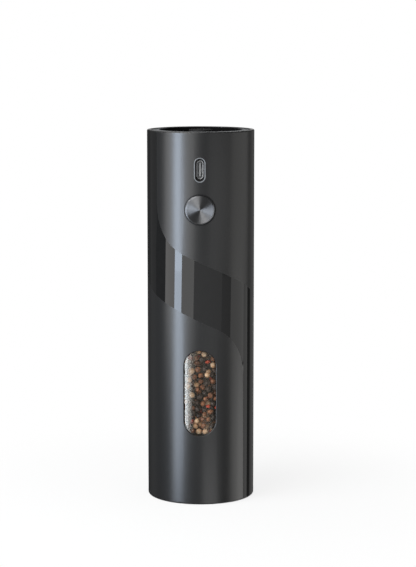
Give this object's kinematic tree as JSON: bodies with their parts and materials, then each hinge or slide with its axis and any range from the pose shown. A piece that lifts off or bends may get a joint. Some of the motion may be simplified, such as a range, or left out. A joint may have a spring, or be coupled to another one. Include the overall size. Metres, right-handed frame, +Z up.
{
  "type": "pepper mill",
  "caption": "Slim cylindrical rechargeable pepper mill with push button, charging port, stadium window, flush gloss ribbon and pull-out ceramic burr head.",
  "frame": {"origin": "centre of the foot, on the surface the mill stands on", "axes": "+Z up the mill's axis, -Y towards the button, port and window, +X to the right seen from the front"},
  "size_m": [0.0535, 0.0535, 0.185],
  "materials": {
    "graphite_satin": "satin metallic lacquer on moulded plastic",
    "gloss_black": "polished piano black",
    "clear_acrylic": "clear polished acrylic",
    "spun_aluminium": "turned face with fine circular lines",
    "black_plastic": "fine moulded texture",
    "cap_plastic": "satin moulded plastic",
    "grey_nylon": "moulded glass-filled nylon",
    "acetal": "moulded natural acetal",
    "steel": "ground steel",
    "zinc_can": "zinc-plated drawn steel",
    "ceramic": "sintered matt ceramic",
    "sintered_bronze": "oiled sintered bronze",
    "silicone": "moulded silicone",
    "board_green": "solder mask on glass epoxy",
    "chip_black": "moulded chip resin",
    "tinned_brass": "tinned brass",
    "port_steel": "bright drawn stainless steel",
    "cell_wrap": "crimped aluminium laminate",
    "lead_sleeve": "extruded insulation"
  },
  "bodies": {
    "housing": {"sleeve": "graphite_satin", "gloss_ribbon": "gloss_black", "top_cap": "cap_plastic", "top_plug": "silicone", "cap_screw": "steel", "window_pane": "clear_acrylic", "hopper": "clear_acrylic", "socket_ring": "black_plastic", "chassis": "grey_nylon", "shaft_bush": "sintered_bronze", "shaft_seal": "silicone", "gearbox_case": "black_plastic", "motor_plate": "zinc_can", "gearbox_screws": "steel", "motor_screws": "steel", "motor_can": "zinc_can", "motor_end_cap": "black_plastic", "motor_terminals": "tinned_brass", "battery": "cell_wrap", "battery_leads": "lead_sleeve", "motor_leads": "lead_sleeve", "circuit_board": "board_green", "board_parts": "chip_black", "board_screws": "steel", "port_shell": "port_steel", "port_tongue": "grey_nylon", "port_bezel": "black_plastic", "switch_body": "black_plastic", "button_ring": "black_plastic"},
    "button": {"button_cap": "spun_aluminium", "button_body": "black_plastic", "switch_plunger": "acetal"},
    "output": {"second_carrier": "steel", "drive_shaft": "steel", "spring_collar": "steel"},
    "first_stage": {"first_carrier": "steel", "second_sun": "steel"},
    "motor_rotor": {"motor_shaft": "steel", "motor_pinion": "sintered_bronze"},
    "burr_head": {"burr_housing": "black_plastic", "neck_seal": "silicone", "outer_burr": "ceramic", "bridge": "black_plastic", "bridge_screws": "steel"},
    "thrust": {"thrust_washer": "acetal"},
    "adjuster": {"adjuster_screw": "steel", "adjuster_knob": "black_plastic"},
    "rotor": {"inner_burr": "ceramic", "burr_hub": "acetal", "hub_clip": "steel", "burr_spring": "steel"},
    "first_planet_a": {"first_planet_a": "acetal"},
    "first_planet_b": {"first_planet_b": "acetal"},
    "first_planet_c": {"first_planet_c": "acetal"},
    "second_planet_a": {"second_planet_a": "acetal"},
    "second_planet_b": {"second_planet_b": "acetal"},
    "second_planet_c": {"second_planet_c": "acetal"}
  },
  "joints": [
    {"name": "button_press", "type": "slide", "parent": "housing", "child": "button", "axis": [0, 1, 0], "range_m": [0, 0.0005], "stiffness_N_per_m": 2000, "springref_m": -0.0002},
    {"name": "drive_spin", "type": "hinge", "parent": "housing", "child": "output", "pos_m": [0, 0, 0.1], "axis": [0, 0, 1], "continuous": true},
    {"name": "first_stage_spin", "type": "hinge", "parent": "housing", "child": "first_stage", "pos_m": [0, 0, 0.1114], "axis": [0, 0, 1], "continuous": true},
    {"name": "motor_spin", "type": "hinge", "parent": "housing", "child": "motor_rotor", "pos_m": [0, 0, 0.12], "axis": [0, 0, 1], "continuous": true},
    {"name": "first_planet_a_spin", "type": "hinge", "parent": "first_stage", "child": "first_planet_a", "pos_m": [0.00675, 0, 0.11495], "axis": [0, 0, 1], "continuous": true},
    {"name": "first_planet_b_spin", "type": "hinge", "parent": "first_stage", "child": "first_planet_b", "pos_m": [-0.00337, 0.00585, 0.11495], "axis": [0, 0, 1], "continuous": true},
    {"name": "first_planet_c_spin", "type": "hinge", "parent": "first_stage", "child": "first_planet_c", "pos_m": [-0.00337, -0.00585, 0.11495], "axis": [0, 0, 1], "continuous": true},
    {"name": "second_planet_a_spin", "type": "hinge", "parent": "output", "child": "second_planet_a", "pos_m": [0.00675, 0, 0.10785], "axis": [0, 0, 1], "continuous": true},
    {"name": "second_planet_b_spin", "type": "hinge", "parent": "output", "child": "second_planet_b", "pos_m": [-0.00337, 0.00585, 0.10785], "axis": [0, 0, 1], "continuous": true},
    {"name": "second_planet_c_spin", "type": "hinge", "parent": "output", "child": "second_planet_c", "pos_m": [-0.00337, -0.00585, 0.10785], "axis": [0, 0, 1], "continuous": true},
    {"name": "burr_head_pull", "type": "slide", "parent": "housing", "child": "burr_head", "axis": [0, 0, -1], "range_m": [0, 0.06]},
    {"name": "burr_gap", "type": "slide", "parent": "burr_head", "child": "thrust", "axis": [0, 0, 1], "range_m": [-0.0005, 0.0005], "deforming": ["burr_spring"]},
    {"name": "adjuster_turn", "type": "hinge", "parent": "thrust", "child": "adjuster", "pos_m": [0, 0, 0.005], "axis": [0, 0, 1], "range_deg": [-180, 180]},
    {"name": "rotor_spin", "type": "hinge", "parent": "thrust", "child": "rotor", "pos_m": [0, 0, 0.0174], "axis": [0, 0, 1], "continuous": true}
  ],
  "couplings": [
    {"joint": "first_stage_spin", "follows": "drive_spin", "ratio": 4.5},
    {"joint": "motor_spin", "follows": "drive_spin", "ratio": 20.25},
    {"joint": "first_planet_a_spin", "follows": "drive_spin", "ratio": -12.6},
    {"joint": "first_planet_b_spin", "follows": "drive_spin", "ratio": -12.6},
    {"joint": "first_planet_c_spin", "follows": "drive_spin", "ratio": -12.6},
    {"joint": "second_planet_a_spin", "follows": "drive_spin", "ratio": -2.8},
    {"joint": "second_planet_b_spin", "follows": "drive_spin", "ratio": -2.8},
    {"joint": "second_planet_c_spin", "follows": "drive_spin", "ratio": -2.8},
    {"joint": "adjuster_turn", "follows": "burr_gap", "rad_per_m": 6283.1},
    {"joint": "rotor_spin", "follows": "drive_spin", "ratio": 1}
  ]
}
